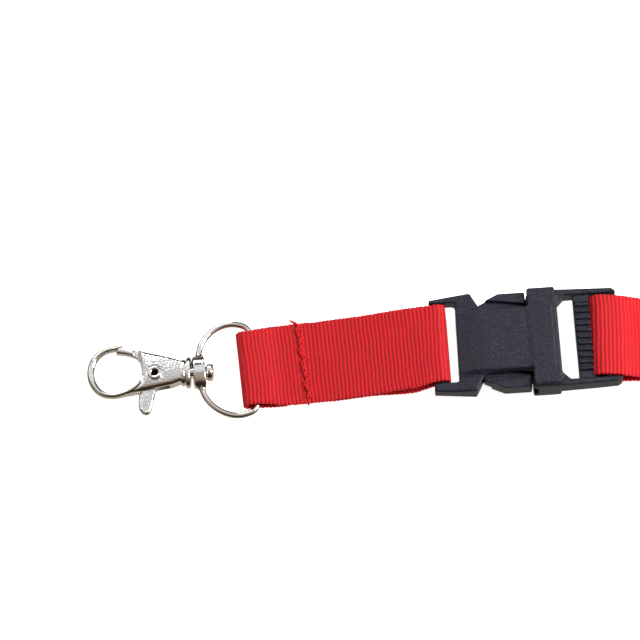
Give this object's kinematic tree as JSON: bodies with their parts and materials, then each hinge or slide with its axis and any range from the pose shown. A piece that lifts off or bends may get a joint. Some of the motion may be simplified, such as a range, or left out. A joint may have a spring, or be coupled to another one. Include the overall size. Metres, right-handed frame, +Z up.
{
  "type": "lanyard",
  "caption": "Lanyard end with a swivel snap hook, D-ring, short sewn strap, side-release buckle and a folded neck strap of flat webbing.",
  "frame": {"origin": "centre of the flat underside of the buckle socket, on the surface the lanyard lies on", "axes": "+X along the buckle from the socket to the plug and the neck strap, +Y across the webbing, +Z up"},
  "size_m": [0.2791, 0.0336, 0.0138],
  "materials": {
    "black_plastic": "moulded acetal, satin to gloss with a fine grain",
    "red_webbing": "ribbed polyester webbing with a slight sheen",
    "red_thread": "spun polyester sewing thread",
    "tie_band": "woven elastic band",
    "nickel": "bright nickel plate on a die casting, lightly pitted",
    "spring_steel": "drawn wire"
  },
  "bodies": {
    "socket": {"buckle_socket": "black_plastic"},
    "plug": {"buckle_plug": "black_plastic"},
    "far_prong": {"far_prong": "black_plastic"},
    "near_prong": {"near_prong": "black_plastic"},
    "lower_strap": {"lower_strap": "red_webbing", "lower_strap_stitching": "red_thread"},
    "d_ring": {"d_ring": "nickel"},
    "hook": {"hook_body": "nickel", "gate_rivet": "nickel", "gate_spring": "spring_steel", "swivel_rivet": "nickel"},
    "gate_lever": {"gate_lever": "nickel"},
    "neck_strap": {"neck_strap": "red_webbing", "neck_strap_stitching": "red_thread", "hank_tie": "tie_band"}
  },
  "joints": [
    {"name": "plug_slide", "type": "slide", "parent": "socket", "child": "plug", "axis": [1, 0, 0], "range_m": [0, 0.024], "deforming": ["far_prong", "near_prong"]},
    {"name": "far_prong_flex", "type": "hinge", "parent": "plug", "child": "far_prong", "pos_m": [0.0129, 0.0118, 0.0047], "axis": [0, 0, 1], "range_deg": [0, 8], "stiffness_Nm_per_rad": 0.05},
    {"name": "near_prong_flex", "type": "hinge", "parent": "plug", "child": "near_prong", "pos_m": [0.0129, -0.0118, 0.0047], "axis": [0, 0, -1], "range_deg": [0, 8], "stiffness_Nm_per_rad": 0.05},
    {"name": "lower_strap_hinge", "type": "hinge", "parent": "socket", "child": "lower_strap", "pos_m": [-0.02, 0, 0.0047], "axis": [0, 1, 0], "range_deg": [-90, 90]},
    {"name": "d_ring_hinge", "type": "hinge", "parent": "lower_strap", "child": "d_ring", "pos_m": [-0.07401, -0.00187, 0.0024], "axis": [-0.0401, 0.9992, 0], "range_deg": [-130, 130]},
    {"name": "hook_swivel", "type": "hinge", "parent": "d_ring", "child": "hook", "pos_m": [-0.08976, -0.0025, 0.0035], "axis": [0.9951, -0.0731, 0.0671], "continuous": true},
    {"name": "gate_pivot", "type": "hinge", "parent": "hook", "child": "gate_lever", "pos_m": [-0.10245, -0.00237, 0.00265], "axis": [-0.067, 0.0049, 0.9977], "range_deg": [0, 25], "stiffness_Nm_per_rad": 0.02, "springref_deg": -11.46, "deforming": ["gate_spring"]},
    {"name": "neck_strap_hinge", "type": "hinge", "parent": "plug", "child": "neck_strap", "pos_m": [0.0284, 0, 0.0047], "axis": [0, -1, 0], "range_deg": [-85, 85]}
  ]
}
